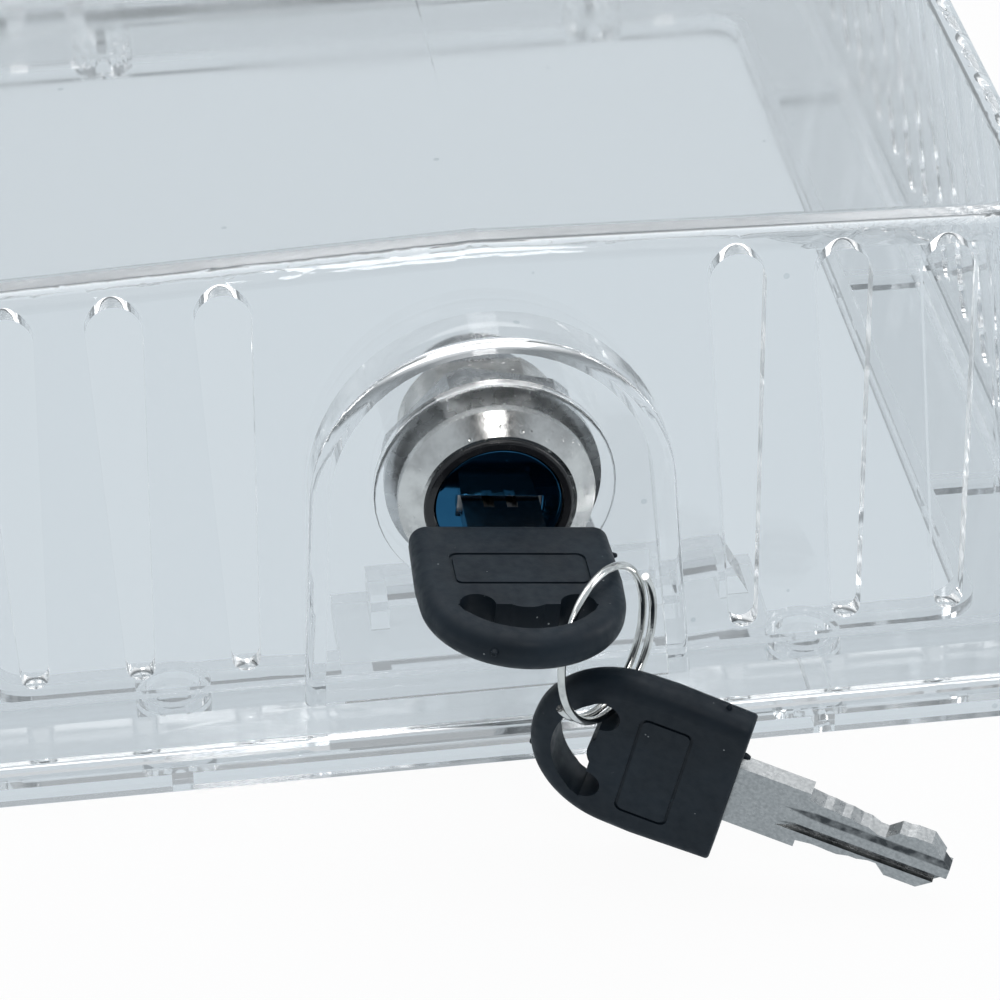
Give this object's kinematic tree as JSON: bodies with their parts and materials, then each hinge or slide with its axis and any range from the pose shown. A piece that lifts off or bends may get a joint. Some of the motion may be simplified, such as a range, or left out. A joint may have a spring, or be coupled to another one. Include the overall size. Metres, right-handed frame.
{
  "type": "thermostat lock box",
  "caption": "Clear ventilated plastic lock box for a wall thermostat: hinged cover, cam lock, ring base and two keys on a split ring.",
  "frame": {"origin": "middle of the four wall-screw holes, in the plane of the base's back, which lies on the wall", "axes": "+X to the right along the wall that carries the lock, +Y from the lock wall to the hinge, +Z out of the mounting wall towards the roof"},
  "size_m": [0.1586, 0.2428, 0.06],
  "materials": {
    "clear_base": "clear gloss plastic",
    "clear_cover": "clear gloss plastic",
    "satin_nickel": "satin nickel plate",
    "black_trim": "gloss",
    "plated_steel": "zinc plate",
    "plug_zinc": "die cast",
    "dark_cap": "polished dark",
    "wafer_brass": "stamped",
    "key_steel": "nickel plate",
    "bow_black": "fine texture",
    "ring_steel": "bright"
  },
  "bodies": {
    "base": {"base_ring": "clear_base"},
    "cover": {"cover_shell": "clear_cover", "lock_barrel": "satin_nickel", "lock_trim_ring": "black_trim", "nut_washer": "plated_steel", "lock_nut": "plated_steel"},
    "plug": {"plug_core": "plug_zinc", "plug_cap": "dark_cap", "wafer_1": "wafer_brass", "wafer_2": "wafer_brass", "wafer_3": "wafer_brass", "wafer_4": "wafer_brass", "wafer_5": "wafer_brass", "stop_plate": "plated_steel", "cam": "plated_steel", "cam_washer": "plated_steel", "cam_screw": "plated_steel"},
    "key": {"key_blade": "key_steel", "key_bow": "bow_black"},
    "ring": {"split_ring": "ring_steel"},
    "spare_key": {"spare_key_blade": "key_steel", "spare_key_bow": "bow_black"}
  },
  "joints": [
    {"name": "cover_hinge", "type": "hinge", "parent": "base", "child": "cover", "pos_m": [0, 0.105, 0.0045], "axis": [-1, 0, 0], "range_deg": [0, 95]},
    {"name": "plug_turn", "type": "hinge", "parent": "cover", "child": "plug", "pos_m": [0, -0.09, 0.0333], "axis": [0, 1, 0], "range_deg": [-65, 25]},
    {"name": "key_slide", "type": "slide", "parent": "plug", "child": "key", "axis": [0, -1, 0], "range_m": [0, 0.0245]},
    {"name": "ring_turn", "type": "hinge", "parent": "key", "child": "ring", "pos_m": [0.00864, -0.11928, 0.02743], "axis": [0.7546, -0.6557, 0.026], "range_deg": [-20, 40]},
    {"name": "spare_key_swing", "type": "hinge", "parent": "ring", "child": "spare_key", "pos_m": [0.00864, -0.11928, 0.02743], "axis": [0.7546, -0.6557, 0.026], "range_deg": [-40, 15]}
  ]
}
